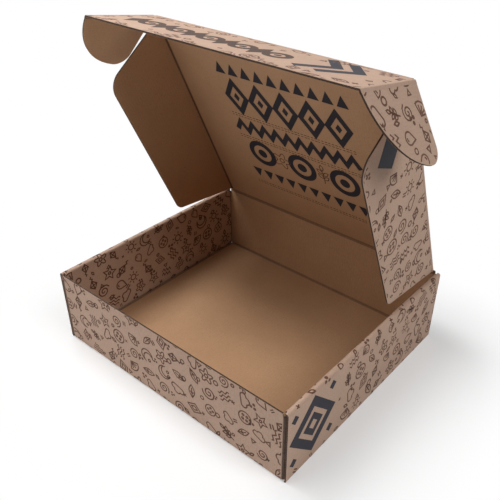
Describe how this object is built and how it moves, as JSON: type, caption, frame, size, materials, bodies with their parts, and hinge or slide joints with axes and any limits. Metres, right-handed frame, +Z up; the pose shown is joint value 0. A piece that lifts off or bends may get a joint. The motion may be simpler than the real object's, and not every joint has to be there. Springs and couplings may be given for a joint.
{
  "type": "mailer box",
  "caption": "Shallow mailer box folded from one sheet of corrugated board, with rolled side walls and a hinged lid with side wings and a tuck flap with lock ears.",
  "frame": {"origin": "centre of the underside of the tray", "axes": "+Z up, front wall towards -Y, lid hinge along X on the rear wall"},
  "size_m": [0.3602, 0.256, 0.3266],
  "materials": {
    "printed_board": "uncoated kraft liner with line print",
    "plain_board": "uncoated kraft liner",
    "brown_ink": "matt flexo ink",
    "navy_ink": "matt flexo ink"
  },
  "bodies": {
    "tray": {"tray": "printed_board"},
    "lid": {"lid_panel": "plain_board"},
    "flap": {"tuck_flap": "printed_board"},
    "wing_left": {"lid_wing_left": "printed_board"},
    "wing_right": {"lid_wing_right": "printed_board"},
    "ear_left": {"lock_ear_left": "printed_board"},
    "ear_right": {"lock_ear_right": "printed_board"}
  },
  "joints": [
    {"name": "lid_hinge", "type": "hinge", "parent": "tray", "child": "lid", "pos_m": [0, 0.1272, 0.0832], "axis": [-1, 0, 0], "range_deg": [-60, 114.5]},
    {"name": "flap_hinge", "type": "hinge", "parent": "lid", "child": "flap", "pos_m": [0, 0.0227, 0.31251], "axis": [-1, 0, 0], "range_deg": [-42, 56]},
    {"name": "wing_left_hinge", "type": "hinge", "parent": "lid", "child": "wing_left", "pos_m": [-0.1413, 0.1272, 0.0832], "axis": [0, 0.4147, -0.91], "range_deg": [0, 27]},
    {"name": "wing_right_hinge", "type": "hinge", "parent": "lid", "child": "wing_right", "pos_m": [0.1413, 0.1272, 0.0832], "axis": [0, -0.4147, 0.91], "range_deg": [0, 27]},
    {"name": "ear_left_hinge", "type": "hinge", "parent": "flap", "child": "ear_left", "pos_m": [-0.14325, 0.0227, 0.31251], "axis": [0, 0.9863, -0.165], "range_deg": [-35, 55]},
    {"name": "ear_right_hinge", "type": "hinge", "parent": "flap", "child": "ear_right", "pos_m": [0.14325, 0.0227, 0.31251], "axis": [0, -0.9863, 0.165], "range_deg": [-35, 55]}
  ]
}
